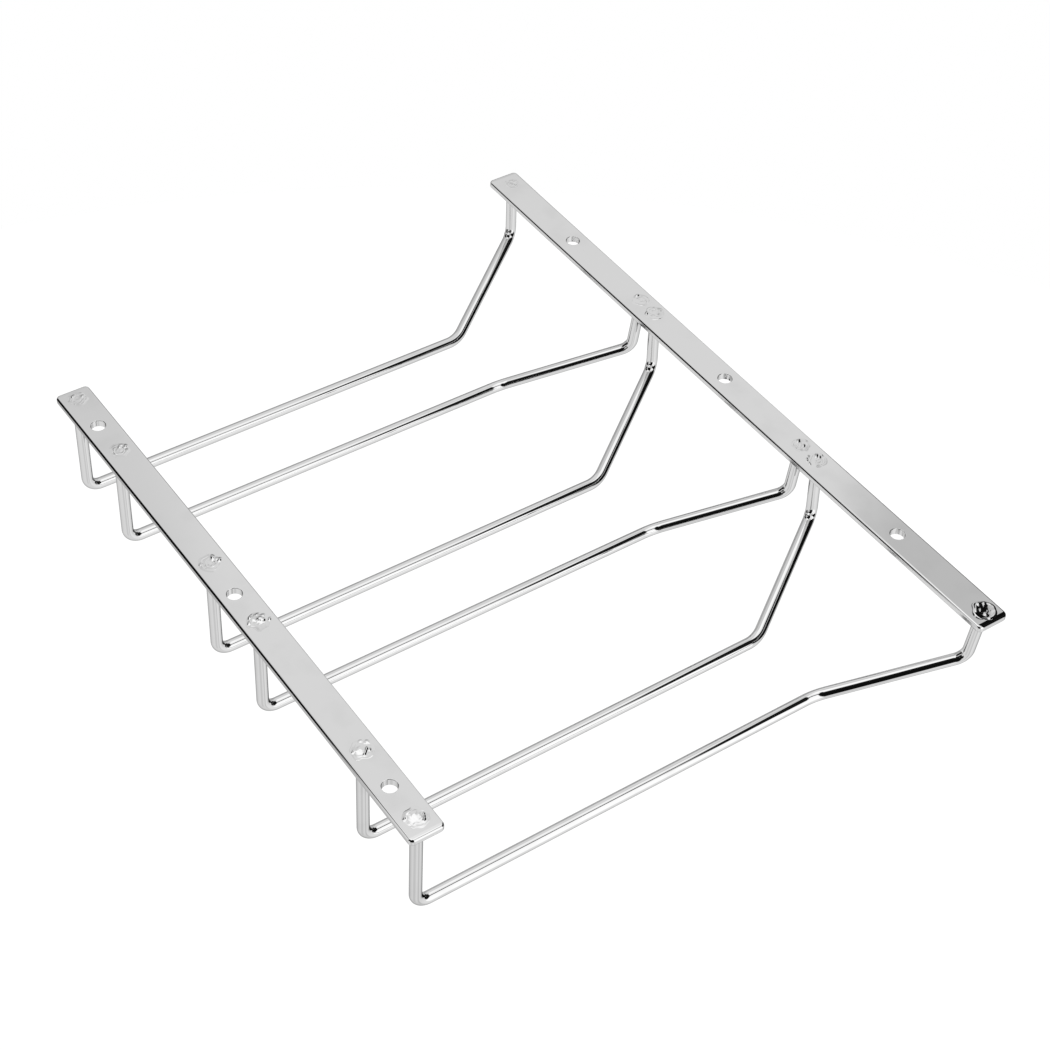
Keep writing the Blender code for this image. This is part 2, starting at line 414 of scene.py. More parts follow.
def rounded_path(corners, radii, bend_steps=36, straight_step=0.008):
    """Points and unit tangents of a polyline whose inner corners are arcs of the given radii.

    A straight is start + t * (end - start). An arc about its centre c is c + r * (cos(a) * out + sin(a) *
    ahead), where a runs from 0 to the angle that the path turns there, so it is tangent to both of its
    straights.
    """
    points, tangents = [], []
    start = corners[0]
    for index, radius in enumerate(radii, start=1):
        back = unit(corners[index - 1] - corners[index])
        on = unit(corners[index + 1] - corners[index])
        turn = math.pi - math.acos(float(back @ on))
        reach = radius * math.tan(turn / 2)
        end = corners[index] + reach * back
        add_straight(points, tangents, start, end, straight_step)
        out = unit(-(on - (on @ back) * back))
        angle = np.linspace(0.0, turn, bend_steps + 1)[:, None]
        points.append(end - radius * out + radius * (np.cos(angle) * out - np.sin(angle) * back))
        tangents.append(-np.sin(angle) * out - np.cos(angle) * back)
        start = corners[index] + reach * on
    add_straight(points, tangents, start, corners[-1], straight_step, last=True)
    return np.vstack(points), np.vstack(tangents)


def add_straight(points, tangents, start, end, step, last=False):
    """Append the points start + t * (end - start) at even steps. Only a last straight keeps its end point.

    The first point of a later straight is left out too, because the arc before it has it.
    """
    count = max(2, math.ceil(np.linalg.norm(end - start) / step))
    share = np.linspace(0.0, 1.0, count + 1)[:, None]
    share = share[0 if not points else 1 : None if last else -1]
    points.append(start + share * (end - start))
    tangents.append(np.repeat(unit(end - start)[None], len(share), axis=0))


def bend_wrinkles(points, centers, corner, before, after, depth, bulge, seed):
    """Wrinkle a tube's points inside a bend, where bending pushed the wire's skin together.

    before and after are unit vectors from the bend's corner along its two straights. A point at distance d
    from the corner moves out from the wire's middle by depth * exp(-(d / reach)**2) * f**2 * the sum of
    cos(k . p + shift) over a few waves, most of them along the wire, and by bulge * exp(-(s / bulge
    reach)**2) * f**2, where s is how far it lies along the bend from just below its middle. f is the cosine
    between the point's own direction from the wire's middle and the inside of the bend, or 0 where that is
    negative.
    """
    random = np.random.default_rng(seed)
    inwards = unit(before + after)
    along = unit(after - before)
    out = points - centers
    length = np.linalg.norm(out, axis=-1, keepdims=True)
    out = out / np.maximum(length, 1e-9)
    facing = np.clip(out @ inwards, 0.0, 1.0) ** 2
    offset = points - corner
    near = np.exp(-((np.linalg.norm(offset, axis=-1) / WRINKLE_REACH) ** 2))
    wave = np.zeros_like(near)
    for _ in range(WRINKLE_WAVES):
        direction = along + random.normal(scale=WRINKLE_TURN, size=3)
        wave_length = random.uniform(*WRINKLE_LENGTHS) * MM
        direction *= 2 * math.pi / (wave_length * np.linalg.norm(direction))
        wave += np.cos(offset @ direction + random.uniform(0, 2 * math.pi)) / 2
    past_middle = offset @ along + BULGE_DROP
    moved = facing * (depth * near * wave + bulge * np.exp(-((past_middle / BULGE_REACH) ** 2)))
    return points + np.where(length > 1e-6, moved[..., None] * out, 0.0)


def tube(centers, tangents, radii, sides):
    """Surface of a wire: center + radius * (cos(a) * n + sin(a) * b), a from 0 to a full turn.

    n is the X axis made square to the tangent t, and b = t x n. The first index goes round, the second
    along. The UV is (metres along the wire, share of a turn).
    """
    x_axis = np.array([1.0, 0.0, 0.0])
    n = x_axis - (tangents @ x_axis)[:, None] * tangents
    n /= np.linalg.norm(n, axis=1)[:, None]
    b = np.cross(tangents, n)
    angle = np.linspace(0.0, 2 * math.pi, sides + 1)[:, None, None]
    points = centers + radii[:, None] * (np.cos(angle) * n + np.sin(angle) * b)
    along = np.concatenate([[0.0], np.cumsum(np.linalg.norm(np.diff(centers, axis=0), axis=1))])
    u, v = np.meshgrid(along, np.linspace(0.0, 1.0, sides + 1))
    return points, np.dstack([u, v])


def closed_ends(centers, tangents, radius, rounding, steps=5):
    """Rows that close both ends of a tube, as (centers, tangents, radii).

    At an end the radius is radius - rounding * (1 - cos(a)), and the row lies rounding * (1 - sin(a))
    inside the end plane, a from 0 to a quarter turn. The last row has no radius and is the pole.
    """
    angle = np.linspace(0.0, math.pi / 2, steps + 1)
    inset = rounding * (1 - np.sin(angle))
    ring = radius - rounding * (1 - np.cos(angle))
    first = centers[0] + inset[::-1, None] * tangents[0]
    last = centers[-1] - inset[:, None] * tangents[-1]
    rows = [centers[:1], first, centers[1:-1], last, centers[-1:]]
    turned = [tangents[:1], np.repeat(tangents[:1], steps + 1, 0), tangents[1:-1]]
    turned += [np.repeat(tangents[-1:], steps + 1, 0), tangents[-1:]]
    radii = np.concatenate([[0.0], ring[::-1], np.full(len(centers) - 2, radius), ring, [0.0]])
    return np.vstack(rows), np.vstack(turned), radii


def plate(center, size, corner, rounding, holes, hole_radius, cut, hole_rounding=0.25 * MM):
    """Patches of a flat bar with round screw holes, each as (points, uv, normals).

    The rim is a quarter circle, an upright and a quarter circle, carried round the bar's outline, which is
    a rounded rectangle. Between the rims of the top and bottom, each hole has its own share of the plate:
    straight lines from the outline to the hole at the same polar angle, then over the hole's rounded edge
    and down its wall. Past a straight line across the bar near each end, z is lower by tan(tip) * (distance
    past that line). The bow adds bow * (x / half the length)**2 to y. cut is (bow, left tip, right tip).
    """
    length, width, thickness = size
    half_x, half_y = length / 2 - rounding, width / 2 - rounding
    inner = corner - rounding
    fold = half_x - inner
    hole_xs = holes[:, 0]
    cuts = np.concatenate([[-fold], (hole_xs[1:] + hole_xs[:-1]) / 2, [fold]])
    cap = rounded_end(half_x, half_y, inner)
    patches, tops, bottoms = [], [], []
    for index, hole_x in enumerate(hole_xs):
        right = straight_cut(cuts[index + 1], half_y)
        left = straight_cut(cuts[index], half_y)[::-1]
        top = long_side(right[-1, 0], left[0, 0], hole_x, half_y)
        bottom = -long_side(-left[-1, 0], -right[0, 0], -hole_x, half_y)
        border = np.vstack([right, top[1:], left[1:], bottom[1:]])
        tops.append(top)
        bottoms.append(bottom)
        patches.append(hole_share(border, hole_x, holes[index, 1], thickness, hole_radius, hole_rounding))
    bow, left_tip, right_tip = cut
    for side, tip in ((1, right_tip), (-1, left_tip)):
        patches.append(end_share(side * cap, side * fold, 0.0, tip))
        patches.append(end_share(side * cap[::-1], side * fold, -thickness, tip))
    outline = [cap] + [top[1:] for top in tops[::-1]] + [-cap[1:]] + [bottom[1:] for bottom in bottoms]
    patches.append(plate_rim(np.vstack(outline), half_x, half_y, inner, thickness, rounding))
    bent = []
    for points, uv, normals in patches:
        x = points[..., 0]
        points[..., 2] -= np.clip(x - fold, 0.0, None) * math.tan(right_tip)
        points[..., 2] -= np.clip(-fold - x, 0.0, None) * math.tan(left_tip)
        points[..., 1] += bow * (x / half_x) ** 2
        bent.append((points + center, uv, normals))
    return bent


def end_share(cap, fold, height, tip, first_step=0.2 * MM):
    """The flat end of a plate, from a line across it at x = fold out to the cap: fold + t * (cap - fold).

    The first index goes along the cap. On the top, the normals past the fold lean out by the tip.
    """
    reach = np.abs(cap[:, :1] - fold)
    share = np.concatenate([[0.0], np.linspace(0.0, 1.0, 4)])
    along = np.maximum(share * reach, np.minimum(first_step, reach))
    along[:, 0] = 0.0
    x = fold + math.copysign(1.0, fold) * along
    points = np.dstack([x, np.broadcast_to(cap[:, 1:], x.shape), np.full_like(x, height)])[:, ::-1]
    normals = np.zeros(points.shape)
    normals[..., 2] = 1.0 if height == 0.0 else -1.0
    if height == 0.0:
        normals[:, :-1, 0] = math.copysign(math.sin(tip), fold)
        normals[:, :-1, 2] = math.cos(tip)
    return points, points[..., :2].copy(), normals


def rounded_end(half_x, half_y, radius, steps=10):
    """The right end of a rounded rectangle, from its lower long side to its upper one, as (x, y) rows.

    Each corner is its centre + radius * (cos(a), sin(a)) over a quarter turn.
    """
    angle = np.linspace(0.0, math.pi / 2, steps + 1)
    x, y = half_x - radius + radius * np.cos(angle), half_y - radius + radius * np.sin(angle)
    upper = np.stack([x, y], 1)
    lower = upper[::-1] * (1, -1)
    middle = np.stack([np.full(3, half_x), np.linspace(-0.5, 0.5, 3) * (half_y - radius)], 1)
    return np.vstack([lower, middle, upper])


def straight_cut(x, half_y):
    """Five points across the bar at x, from its lower side to its upper one."""
    return np.stack([np.full(5, x), np.linspace(-half_y, half_y, 5)], 1)


def long_side(x_right, x_left, hole_x, half_y, step=math.radians(4.0)):
    """Points along the upper long side, from right to left, at even polar angles about a hole.

    At polar angle a the side is at x = hole_x + half_y / tan(a).
    """
    from_right = math.atan2(half_y, x_right - hole_x)
    from_left = math.atan2(half_y, x_left - hole_x)
    angle = np.linspace(from_right, from_left, max(3, math.ceil((from_left - from_right) / step)) + 1)
    x = hole_x + half_y / np.tan(angle)
    x[0], x[-1] = x_right, x_left
    return np.stack([x, np.full(len(x), half_y)], 1)


def hole_share(border, hole_x, hole_y, thickness, radius, rounding, steps=4):
    """One hole's share of a plate, as a closed sleeve: border, hole's top, wall, hole's bottom, border.

    The first index goes round the hole, the second from the top border inwards and back out below. On the
    rounded edges the distance from the hole's middle is radius + rounding * (1 - sin(a)). hole_y then moves
    the hole across the bar.
    """
    out = border - (hole_x, 0.0)
    reach = np.linalg.norm(out, axis=1)[:, None]
    out = out / reach
    angle = np.linspace(0.0, math.pi / 2, steps + 1)
    upper = np.stack([radius + rounding * (1 - np.sin(angle)), rounding * (np.cos(angle) - 1)], 1)
    lower = upper[::-1] * (1, -1) - (0.0, thickness)
    ring = np.vstack([upper, lower])
    lean = np.concatenate([angle, math.pi / 2 + angle])
    distance = np.hstack([reach, np.repeat(ring[None, :, 0], len(border), 0), reach])
    height = np.concatenate([[0.0], ring[:, 1], [-thickness]])
    points = swept(distance, height, out)
    points[..., 0] += hole_x
    points[:, 1:-1, 1] += hole_y
    lean = np.concatenate([[0.0], lean, [math.pi]])
    return points, points[..., :2].copy(), swept(-np.sin(lean)[None], np.cos(lean), out)


def plate_rim(outline, half_x, half_y, radius, thickness, rounding, steps=6):
    """The plate's rim: outline + rounding * cos(a) * outwards, a from -90 to 90 degrees, upright at 0.

    The first index goes round the outline, the second from the bottom to the top.
    """
    limits = np.array([half_x - radius, half_y - radius])
    out = outline - np.clip(outline, -limits, limits)
    out /= np.linalg.norm(out, axis=1)[:, None]
    quarter = np.linspace(0.0, math.pi / 2, steps + 1)
    lean = np.concatenate([quarter - math.pi / 2, quarter])
    base = np.where(np.arange(len(lean)) <= steps, rounding - thickness, -rounding)
    points = swept(rounding * np.cos(lean)[None], base + rounding * np.sin(lean), out)
    points[..., :2] += outline[:, None]
    return points, points[..., :2].copy(), swept(np.cos(lean)[None], np.sin(lean), out)


def weld_mark(center, across, height, ripple, seed, lumps, lean=0.0, sides=150, rows=52):
    """A low, uneven mound where a wire end is fused into a bar, closed underneath.

    At share s from 0 at the rim to 1 at the middle it is height * (1 - exp(-(s / slope)**2)) high. To that
    come partial rings, a * exp(-((s - ring) / width)**2) * (1 + cos(k * angle + shift)) / 2, and each
    speck, lump or pit, b * exp(-distance**2 / reach**2), where a small lump is longer from -X +Y to +X -Y.
    Towards +X +Y it rises by tan(lean) * softness * log(1 + exp((distance + start) / softness)). All but
    the mound fades at the rim by 1 - exp(-(s / rim)**2). The rim wavers as 1 + the sum of
    c * cos(k * angle + shift).
    """
    random = np.random.default_rng(seed)
    angle = np.linspace(0.0, 2 * math.pi, sides + 1)[:, None]
    share = np.linspace(0.0, 1.0, rows + 1)[None, :]
    waver = np.ones_like(angle)
    for count in range(1, MARK_WAVES + 1):
        waver += random.uniform(*MARK_WAVER) * np.cos(count * angle + random.uniform(0, 2 * math.pi))
    distance = (1 - share) * waver * across / 2
    x, y = distance * np.cos(angle), distance * np.sin(angle)
    inside = 1 - np.exp(-((share / MARK_RIM) ** 2))
    z = height * (1 - np.exp(-((share / MARK_SLOPE) ** 2)))
    up_hill = (x + y) / math.sqrt(2.0) + LEAN_START
    slope = math.tan(math.radians(lean))
    z = z + inside * slope * LEAN_SOFTNESS * np.logaddexp(0.0, up_hill / LEAN_SOFTNESS)
    for _ in range(RING_COUNT):
        ring, width = random.uniform(*RING_PLACE), random.uniform(*RING_WIDTH)
        part = 0.5 + 0.5 * np.cos(random.integers(*RING_BREAKS) * angle + random.uniform(0, 2 * math.pi))
        amount = ripple * random.choice([-1.0, 1.0]) * random.uniform(*RING_HEIGHT)
        z = z + amount * inside * part * np.exp(-(((share - ring) / width) ** 2))
    for _ in range(SPECK_COUNT):
        turn, out = random.uniform(0, 2 * math.pi), random.uniform(*SPECK_PLACE) * across / 2
        reach = random.uniform(*SPECK_REACH) * MM
        square = (x - out * math.cos(turn)) ** 2 + (y - out * math.sin(turn)) ** 2
        z = z + ripple * random.uniform(*SPECK_HEIGHT) * inside * np.exp(-square / reach**2)
    for lump_x, lump_y, reach, rise in lumps:
        stretch = SMALL_LUMP_STRETCH if reach < SMALL_LUMP else 1.0
        long_way = (x - lump_x * MM - y + lump_y * MM) / (math.sqrt(2.0) * stretch)
        short_way = (x - lump_x * MM + y - lump_y * MM) / math.sqrt(2.0)
        z = z + rise * MM * inside * np.exp(-(long_way**2 + short_way**2) / (reach * MM) ** 2)
    foot = np.full_like(x[:, :1], -MARK_FOOT)
    pole = np.dstack([x[:, -1:], y[:, -1:], foot])
    under = np.dstack([x[:, :1], y[:, :1], foot])
    points = np.concatenate([pole, under, np.dstack([x, y, z - MARK_SUNK])], axis=1) + center
    return points, even_uv(points), None


def weld_bead(top, leg, wire_radius, seed, sides=48, steps=8):
    """A bead with a hollow profile round a wire, just under its bar and closed inside the wire.

    The profile is a concave quarter circle from the bar to the wire, whose size wavers round the wire as
    size * (1 + the sum of c * cos(k * a + shift)).
    """
    random = np.random.default_rng(seed)
    angle = np.linspace(0.0, 2 * math.pi, sides + 1)[:, None]
    reach = np.ones_like(angle)
    for count in range(1, BEAD_WAVES + 1):
        waver = random.uniform(*BEAD_WAVER) / count**0.5
        reach += waver * np.cos(count * angle + random.uniform(0, 2 * math.pi))
    reach = BEAD_SIZE * np.clip(reach, *BEAD_LIMITS)
    bend = np.linspace(0.0, math.pi / 2, steps + 1)[None, :]
    outwards = wire_radius + reach * (1 - np.sin(bend)) - BEAD_OVERLAP
    down = reach * (1 - np.cos(bend))
    inside = np.full_like(angle, wire_radius - BEAD_INSIDE)
    foot = np.full_like(angle, -BEAD_FOOT)
    outwards = np.hstack([inside, outwards[:, :1], outwards, inside])
    down = np.hstack([foot, foot, down, down[:, -1:]])
    points = np.dstack([outwards * np.cos(angle), outwards * np.sin(angle), np.zeros_like(outwards)])
    points = points + top + down[..., None] * leg / abs(leg[2])
    points = np.concatenate([points, points[:, :1]], axis=1)[:, ::-1]
    return points, even_uv(points), None


def floor_disc(drop, radius, sides=96, rows=12):
    """A level disc: (r * cos(a), r * sin(a), -drop), r from 0 to the radius."""
    angle = np.linspace(0.0, 2 * math.pi, sides + 1)[:, None]
    reach = np.linspace(radius, 0.0, rows + 1)[None, :]
    x, y = reach * np.cos(angle), reach * np.sin(angle)
    points = np.dstack([x, y, np.full_like(x, -drop)])
    return points, points[..., :2].copy(), None


def tent_dome(radius, sides=96, rows=48):
    """A ball: radius * (cos(e) * sin(a), -cos(e) * cos(a), sin(e)), e from bottom to top, a all round."""
    angle = np.linspace(0.0, 2 * math.pi, sides + 1)[:, None]
    rise = np.linspace(-math.pi / 2, math.pi / 2, rows + 1)[None, :]
    level = np.cos(rise)
    level[0, [0, -1]] = 0.0
    x, y = level * np.sin(angle), -level * np.cos(angle)
    points = radius * np.dstack([x, y, np.broadcast_to(np.sin(rise), x.shape)])
    return points, even_uv(points), None


# Meshes


def mesh_from_patches(name, patches, closed=True):
    """One mesh from grids of points, as (points, uv, normals).

    Points that share a cell are one. A grid's faces point along (step of the first index) x (step of the
    second).
    """
    corners, points, uvs, normals, offset = [], [], [], [], 0
    for patch_points, patch_uv, patch_normals in patches:
        rows, columns = patch_points.shape[:2]
        index = np.arange(rows * columns).reshape(rows, columns) + offset
        quads = np.stack([index[:-1, :-1], index[1:, :-1], index[1:, 1:], index[:-1, 1:]], axis=-1)
        corners.append(quads.reshape(-1, 4))
        points.append(patch_points.reshape(-1, 3))
        uvs.append(patch_uv.reshape(-1, 2))
        if patch_normals is not None:
            normals.append(patch_normals.reshape(-1, 3))
        offset += rows * columns
    corners, points, uvs = np.vstack(corners), np.vstack(points), np.vstack(uvs)
    cell = np.round((points + MERGE_OFFSET) / MERGE_CELL).astype(np.int64)
    _, first, shared = np.unique(cell, axis=0, return_index=True, return_inverse=True)
    faces = shared.reshape(-1)[corners]
    kept = faces != np.roll(faces, 1, axis=1)
    full, short = kept.sum(1) == 4, kept.sum(1) == 3
    triangles = faces[short][kept[short]].reshape(-1, 3)
    triangle_corners = corners[short][kept[short]].reshape(-1, 3)
    mesh = bpy.data.meshes.new(name)
    mesh.from_pydata(points[first], [], faces[full].tolist() + triangles.tolist())
    mesh.polygons.foreach_set("use_smooth", np.ones(len(mesh.polygons), bool))
    uv_layer = mesh.uv_layers.new(name="surface")
    loop_uv = np.vstack([uvs[corners[full]].reshape(-1, 2), uvs[triangle_corners].reshape(-1, 2)])
    uv_layer.data.foreach_set("uv", loop_uv.astype(np.float32).ravel())
    if normals:
        mesh.normals_split_custom_set_from_vertices(np.vstack(normals)[first].tolist())
    if mesh.validate() or (closed and mesh_volume(points, corners) < 0):
        raise RuntimeError(f"{name} came out broken or inside out")
    mesh.update()
    return mesh


def mesh_volume(points, corners):
    """Signed volume of closed quads: a sixth of the sum of a . (b x c) over their triangles."""
    a, b, c, d = (points[corners[:, column]] for column in range(4))
    across = np.cross(b, c) + np.cross(c, d)
    return float((a * across).sum() / 6)


def remove_old(items, name):
    """Delete an earlier item of that name, so that an operator can be run again."""
    old = items.get(name)
    if old is not None:
        items.remove(old)


def add_piece(name, patches, material, slot=None, nodes=()):
    """Add a piece made of patches. With a slot it rides on the rack. It stands for the named CAD nodes."""
    remove_old(bpy.data.objects, name)
    obj = bpy.data.objects.new(name, mesh_from_patches(name, patches, closed=slot is not None))
    bpy.context.scene.collection.objects.link(obj)
    obj.data.materials.append(material)
    if slot is not None:
        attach(obj, "root")
    if nodes:
        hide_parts(*nodes)
    return obj


# Materials


def feed(tree, node, inputs):
    """Give a node's inputs, by name or number, their values or the sockets that feed them."""
    for key, value in inputs.items():
        if isinstance(value, bpy.types.NodeSocket):
            tree.links.new(value, node.inputs[key])
        else:
            node.inputs[key].default_value = value


def add_node(tree, kind, x, y, inputs=None, **settings):
    """Add a node at a place in the tree. Settings are its properties, and inputs are as in feed."""
    node = tree.nodes.new(kind)
    node.location = (x, y)
    for key, value in settings.items():
        setattr(node, key, value)
    feed(tree, node, inputs or {})
    return node


def math_node(tree, operation, x, y, *values, clamp=False):
    """Add a Math node over values or sockets, and return what it puts out."""
    inputs = dict(enumerate(values))
    return add_node(tree, "ShaderNodeMath", x, y, inputs, operation=operation, use_clamp=clamp).outputs[0]


def in_degrees(tree, operation, x, y, *values):
    """Add an inverse angle function over values or sockets, and return its angle in degrees."""
    return math_node(tree, "DEGREES", x + 150, y, math_node(tree, operation, x, y, *values))


def smooth_range(tree, value, before, after, x, y):
    """Add a smooth step that takes value from one pair of numbers or sockets to another, and return it."""
    inputs = {"Value": value, "From Min": before[0], "From Max": before[1]}
    inputs.update({"To Min": after[0], "To Max": after[1]})
    return add_node(tree, "ShaderNodeMapRange", x, y, inputs, interpolation_type="SMOOTHSTEP").outputs[0]


def new_group(name, inputs, output):
    """Start a node group with one output. Return (group, sockets of its input node, its output node).

    inputs has the default of each named input, or None for a vector.
    """
    remove_old(bpy.data.node_groups, name)
    group = bpy.data.node_groups.new(name, "ShaderNodeTree")
    for label, default in inputs.items():
        kind = "NodeSocketVector" if default is None else "NodeSocketFloat"
        socket = group.interface.new_socket(name=label, in_out="INPUT", socket_type=kind)
        if default is not None:
            socket.default_value = default
    group.interface.new_socket(name=output, in_out="OUTPUT", socket_type="NodeSocketFloat")
    given = add_node(group, "NodeGroupInput", -900, 0).outputs
    return group, given, add_node(group, "NodeGroupOutput", 700, 0)


def place_group(tree, group, x, y, inputs):
    """Place a node group in a tree, with its inputs as in feed."""
    return add_node(tree, "ShaderNodeGroup", x, y, inputs, node_tree=group, label=group.name)


def new_material(name):
    """Return a new material of that name, and its empty node tree."""
    remove_old(bpy.data.materials, name)
    material = bpy.data.materials.new(name)
    material.use_nodes = True
    material.node_tree.nodes.clear()
    return material, material.node_tree


def plating_ripple_group():
    """Slow unevenness of the plated surface, as a height in metres."""
    inputs = {"Vector": None, "Ripples per metre": 120.0, "Height": 1e-5}
    group, given, out = new_group("plating_ripple", inputs, "Height")
    pattern = {"Vector": given["Vector"], "Scale": given["Ripples per metre"], "Detail": 1.5}
    noise = add_node(group, "ShaderNodeTexNoise", -500, 0, pattern)
    centred = math_node(group, "SUBTRACT", -250, 0, noise.outputs[0], 0.5)
    feed(group, out, {"Height": math_node(group, "MULTIPLY", 0, 0, centred, given["Height"])})
    return group


def plating_haze_group(edge=0.25):
    """Faint clouds in the plating, as a mask from 0 to 1 that rises over the edge, a share of the noise."""
    inputs = {"Vector": None, "Clouds per metre": 60.0, "Cover": 0.5}
    group, given, out = new_group("plating_haze", inputs, "Mask")
    pattern = {"Vector": given["Vector"], "Scale": given["Clouds per metre"], "Detail": 4.0}
    noise = add_node(group, "ShaderNodeTexNoise", -500, 0, pattern)
    low = math_node(group, "SUBTRACT", -500, -250, 1.0, given["Cover"])
    high = math_node(group, "ADD", -300, -250, low, edge)
    feed(group, out, {"Mask": smooth_range(group, noise.outputs[0], (low, high), (0.0, 1.0), -100, 0)})
    return group


def drawing_lines_group(low=0.45, high=0.75):
    """Fine lines along drawn wire, from its UV in metres along and turns around, as a mask from 0 to 1.

    The mask rises where the noise goes from low to high.
    """
    inputs = {"UV": None, "Lines round": 40.0, "Breaks per metre": 14.0}
    group, given, out = new_group("drawing_lines", inputs, "Mask")
    both = {0: given["Breaks per metre"], 1: given["Lines round"]}
    stretch = add_node(group, "ShaderNodeCombineXYZ", -650, -150, both)
    both = {0: given["UV"], 1: stretch.outputs[0]}
    scaled = add_node(group, "ShaderNodeVectorMath", -450, 0, both, operation="MULTIPLY")
    pattern = {"Vector": scaled.outputs[0], "Scale": 1.0, "Detail": 3.0}
    noise = add_node(group, "ShaderNodeTexNoise", -250, 0, pattern)
    feed(group, out, {"Mask": smooth_range(group, noise.outputs[0], (low, high), (0.0, 1.0), 0, 0)})
    return group


def chrome_material(name, finish, lines=None, side_band=None):
    """Chrome plate from its row in CHROMES. Clouds and drawn lines roughen and darken it, ripples bend it.

    lines is None or a row like DRAWN_LINES. side_band is None, or the middle and half the height of a bar's
    sides and the roughness that they add, because they were cut.
    """
    ripples, ripple_height, clouds, haze, darkening = CHROMES[name]
    material, tree = new_material(name)
    groups = bpy.data.node_groups
    place = add_node(tree, "ShaderNodeTexCoord", -1100, 0).outputs["Object"]
    inputs = {"Vector": place, "Clouds per metre": clouds, "Cover": 0.5}
    mask = place_group(tree, groups["plating_haze"], -700, 100, inputs).outputs["Mask"]
    if lines is not None:
        uv = add_node(tree, "ShaderNodeUVMap", -1100, -300, uv_map="surface").outputs[0]
        drawn = place_group(tree, groups["drawing_lines"], -700, -200, {"UV": uv, "Lines round": lines[0]})
        added = math_node(tree, "MULTIPLY", -450, -200, drawn.outputs["Mask"], lines[1])
        mask = math_node(tree, "ADD", -250, 0, mask, added)
    rough = math_node(tree, "MULTIPLY", -50, 0, mask, finish.haze * haze)
    rough = math_node(tree, "ADD", 100, 0, rough, finish.polish)
    if side_band is not None:
        middle, half, added = side_band
        height = add_node(tree, "ShaderNodeSeparateXYZ", -700, 400, {0: place}).outputs[2]
        height = math_node(tree, "SUBTRACT", -500, 400, height, middle)
        away = math_node(tree, "ABSOLUTE", -350, 400, height)
        cut = smooth_range(tree, away, (half * SIDE_FADE_START, half), (added, 0.0), -200, 400)
        rough = math_node(tree, "ADD", 200, 200, rough, cut)
    clean = finish.chrome_color
    dark = [part * (1 - darkening) for part in clean[:3]] + [1.0]
    tint = add_node(tree, "ShaderNodeMix", 100, 250, {0: mask, 6: clean, 7: dark}, data_type="RGBA")
    inputs = {"Vector": place, "Ripples per metre": ripples, "Height": ripple_height}
    height = place_group(tree, groups["plating_ripple"], -700, -500, inputs).outputs["Height"]
    bump = add_node(tree, "ShaderNodeBump", 100, -400, {"Distance": 1.0, "Height": height})
    look = {
        "Base Color": tint.outputs[2],
        "Metallic": 1.0,
        "Roughness": rough,
        "Specular Tint": (finish.edge_tint, finish.edge_tint, finish.edge_tint, 1.0),
        "Normal": bump.outputs[0],
    }
    shader = add_node(tree, "ShaderNodeBsdfPrincipled", 400, 0, look)
    add_node(tree, "ShaderNodeOutputMaterial", 700, 0, {0: shader.outputs[0]})
    return material


# Bars, wires and welds


def wire_corners(sizes, channel, side, name):
    """Sharp corners of a wire's centreline, from its rear end to its front end, as it was bent by hand."""
    bent = np.array(HAND_BENDING[name]) * MM
    front_y, rear_y = (bar_box(bar)[0][1] for bar in BARS)
    middle = channel * sizes.channel_pitch
    run_x = middle + side * sizes.wire_spacing / 2 + bent[0]
    rear_y = rear_y + bent[1]
    run_z = -(sizes.run_depth + bent[2])
    flare_y = front_y + sizes.flare_length + bent[3]
    mouth_x = middle + side * sizes.mouth_spacing / 2 + bent[4]
    mouth_y = front_y - MOUTH_CORNER_FORWARD + bent[5]
    mouth_z = -sizes.mouth_depth - bent[6]
    top_x = middle + side * sizes.mouth_top_spacing / 2 + bent[7]
    top_y = front_y - MOUTH_TOP_FORWARD + bent[8]
    rear = [(run_x, rear_y, 0.0), (run_x, rear_y, run_z)]
    return np.array(rear + [(run_x, flare_y, run_z), (mouth_x, mouth_y, mouth_z), (top_x, top_y, 0.0)])


def bar_box(bar):
    """(middle, size) of a CAD bar."""
    low, high = (np.array(corner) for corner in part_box(bar))
    return (low + high) / 2, high - low


def wire_names():
    """(name, channel, side) of each wire, where channel and side count from the middle."""
    return [(f"{name}_{label}", channel, side) for name, channel in CHANNELS for label, side in SIDES]


class RACK_OT_finishes(bpy.types.Operator):
    """Make the chrome finishes of the bars, the wires and the welds."""

    bl_idname = "rack.finishes"
    bl_label = "Chrome Finishes"

    def execute(self, context):
        finish = context.scene.rack_finish
        plating_ripple_group()
        plating_haze_group()
        drawing_lines_group()
        thickness = bar_box("front_bar")[1][2]
        half = thickness / 2 - context.scene.rack_sizes.bar_edge_rounding
        sides = (-thickness / 2, half, finish.cut_side_roughness)
        chrome_material("bar_chrome_plate", finish, side_band=sides)
        chrome_material("wire_chrome_plate", finish, lines=DRAWN_LINES)
        chrome_material("weld_chrome_plate", finish)
        return {"FINISHED"}


class RACK_OT_bars(bpy.types.Operator):
    """Make the two flat mounting bars with their screw holes."""

    bl_idname = "rack.bars"
    bl_label = "Mounting Bars"

    def execute(self, context):
        sizes = context.scene.rack_sizes
        for bar in BARS:
            middle, size = bar_box(bar)
            shift, bow, left_tip, right_tip = BAR_CUT[bar]
            top = middle + (shift * MM, 0.0, size[2] / 2)
            holes = (np.array(HOLE_DRIFT[bar]) - (shift, 0.0)) * MM
            holes[:, 0] += np.array([-1, 0, 1]) * sizes.channel_pitch
            radius = sizes.screw_hole_diameter / 2
            cut = (bow * MM, math.radians(left_tip), math.radians(right_tip))
            patches = plate(top, size, sizes.bar_corner_radius, sizes.bar_edge_rounding, holes, radius, cut)
            add_piece(f"{bar}_plate", patches, bpy.data.materials["bar_chrome_plate"], "bar_chrome", [bar])
        return {"FINISHED"}


